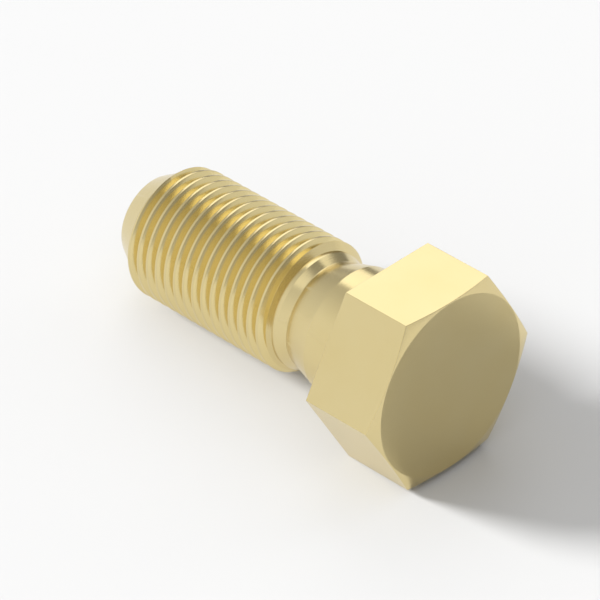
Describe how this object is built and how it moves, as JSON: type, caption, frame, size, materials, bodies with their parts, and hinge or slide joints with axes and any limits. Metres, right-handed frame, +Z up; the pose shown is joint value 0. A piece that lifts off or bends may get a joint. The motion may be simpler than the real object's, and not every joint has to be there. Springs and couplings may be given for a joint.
{
  "type": "hex head screw",
  "caption": "Hex head screw turned in brass, with a chamfered hexagon, a plain neck tapering to a waist, a fine thread and a blunt conical point, for fastening parts with a wrench.",
  "frame": {"origin": "centre of the bounding box's underside, on the surface that the screw rests on", "axes": "+X runs from the head to the point in plan, the screw's own axis tipped 5.3 degrees down towards the point as it rests; +Y is level, through a corner of the hexagon; +Z is up"},
  "size_m": [0.041, 0.022, 0.0197],
  "materials": {
    "brass": "satin, as turned from bar"
  },
  "bodies": {
    "root": {"hex_head_screw": "brass"}
  },
  "joints": []
}
